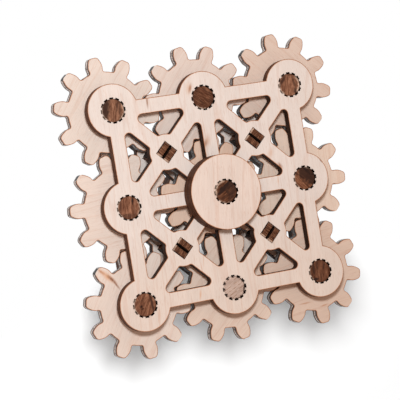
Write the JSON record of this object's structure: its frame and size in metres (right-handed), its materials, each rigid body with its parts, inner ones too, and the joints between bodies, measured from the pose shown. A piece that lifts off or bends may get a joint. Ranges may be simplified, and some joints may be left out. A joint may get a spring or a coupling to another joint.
{
  "type": "wooden gear puzzle",
  "caption": "Flat hand-turned toy of meshing wooden gears between two square lattice plates, driven by a round knob in the middle, with round axles and split pegs.",
  "frame": {"origin": "centre of the rear knob's outer face, on the centre axle's line: the lowest point of the puzzle as it lies, and the bottom centre of its bounding box", "axes": "+Z along the axles towards the front plate; X and Y along the rows of gears, +Y to the top of the puzzle as it is pictured and +X to its right"},
  "size_m": [0.132, 0.132, 0.0369],
  "materials": {
    "plate_ply": "bare sanded birch plywood with laser burnt edges",
    "knob_ply": "bare sanded birch plywood with laser burnt edges",
    "gear_ply": "bare sanded birch plywood with laser burnt edges",
    "washer_ply": "bare plywood with laser burnt edges",
    "axle_wood": "dark brown round rod, matte, with darker streaks across its ends",
    "pale_axle_wood": "bare pale round rod with diagonal grain lines across its end",
    "peg_wood": "brown wood, burnt, matte"
  },
  "bodies": {
    "frame": {"front_plate": "plate_ply", "back_plate": "plate_ply", "centre_front_washer": "washer_ply", "centre_back_washer": "washer_ply", "axle_top_left": "axle_wood", "axle_top": "axle_wood", "axle_top_right": "axle_wood", "axle_left": "axle_wood", "axle_right": "axle_wood", "axle_bottom_left": "axle_wood", "axle_bottom": "pale_axle_wood", "axle_bottom_right": "axle_wood", "front_washer_top_left": "washer_ply", "front_washer_top": "washer_ply", "front_washer_top_right": "washer_ply", "front_washer_left": "washer_ply", "front_washer_right": "washer_ply", "front_washer_bottom_left": "washer_ply", "front_washer_bottom": "washer_ply", "front_washer_bottom_right": "washer_ply", "back_washer_top_left": "washer_ply", "back_washer_top": "washer_ply", "back_washer_top_right": "washer_ply", "back_washer_left": "washer_ply", "back_washer_right": "washer_ply", "back_washer_bottom_left": "washer_ply", "back_washer_bottom": "washer_ply", "back_washer_bottom_right": "washer_ply", "peg_top_left_inner_leaf": "peg_wood", "peg_top_right_inner_leaf": "peg_wood", "peg_bottom_left_inner_leaf": "peg_wood", "peg_bottom_right_inner_leaf": "peg_wood", "peg_top_left_outer_leaf": "peg_wood", "peg_top_right_outer_leaf": "peg_wood", "peg_bottom_left_outer_leaf": "peg_wood", "peg_bottom_right_outer_leaf": "peg_wood"},
    "drive": {"centre_axle": "axle_wood", "centre_gear": "gear_ply", "front_knob_outer": "knob_ply", "front_knob_inner": "knob_ply", "rear_knob_inner": "knob_ply", "rear_knob_outer": "knob_ply"},
    "gear_top_left": {"gear_top_left": "gear_ply"},
    "gear_top": {"gear_top": "gear_ply"},
    "gear_top_right": {"gear_top_right": "gear_ply"},
    "gear_left": {"gear_left": "gear_ply"},
    "gear_right": {"gear_right": "gear_ply"},
    "gear_bottom_left": {"gear_bottom_left": "gear_ply"},
    "gear_bottom": {"gear_bottom": "gear_ply"},
    "gear_bottom_right": {"gear_bottom_right": "gear_ply"}
  },
  "joints": [
    {"name": "knob_spin", "type": "hinge", "parent": "frame", "child": "drive", "pos_m": [0, 0, 0], "axis": [0, 0, 1], "continuous": true},
    {"name": "gear_top_left_spin", "type": "hinge", "parent": "frame", "child": "gear_top_left", "pos_m": [-0.042, 0.042, 0], "axis": [0, 0, 1], "continuous": true},
    {"name": "gear_top_spin", "type": "hinge", "parent": "frame", "child": "gear_top", "pos_m": [0, 0.042, 0], "axis": [0, 0, 1], "continuous": true},
    {"name": "gear_top_right_spin", "type": "hinge", "parent": "frame", "child": "gear_top_right", "pos_m": [0.042, 0.042, 0], "axis": [0, 0, 1], "continuous": true},
    {"name": "gear_left_spin", "type": "hinge", "parent": "frame", "child": "gear_left", "pos_m": [-0.042, 0, 0], "axis": [0, 0, 1], "continuous": true},
    {"name": "gear_right_spin", "type": "hinge", "parent": "frame", "child": "gear_right", "pos_m": [0.042, 0, 0], "axis": [0, 0, 1], "continuous": true},
    {"name": "gear_bottom_left_spin", "type": "hinge", "parent": "frame", "child": "gear_bottom_left", "pos_m": [-0.042, -0.042, 0], "axis": [0, 0, 1], "continuous": true},
    {"name": "gear_bottom_spin", "type": "hinge", "parent": "frame", "child": "gear_bottom", "pos_m": [0, -0.042, 0], "axis": [0, 0, 1], "continuous": true},
    {"name": "gear_bottom_right_spin", "type": "hinge", "parent": "frame", "child": "gear_bottom_right", "pos_m": [0.042, -0.042, 0], "axis": [0, 0, 1], "continuous": true}
  ],
  "couplings": [
    {"joint": "gear_top_left_spin", "follows": "knob_spin", "ratio": 1},
    {"joint": "gear_top_spin", "follows": "knob_spin", "ratio": -1},
    {"joint": "gear_top_right_spin", "follows": "knob_spin", "ratio": 1},
    {"joint": "gear_left_spin", "follows": "knob_spin", "ratio": -1},
    {"joint": "gear_right_spin", "follows": "knob_spin", "ratio": -1},
    {"joint": "gear_bottom_left_spin", "follows": "knob_spin", "ratio": 1},
    {"joint": "gear_bottom_spin", "follows": "knob_spin", "ratio": -1},
    {"joint": "gear_bottom_right_spin", "follows": "knob_spin", "ratio": 1}
  ]
}
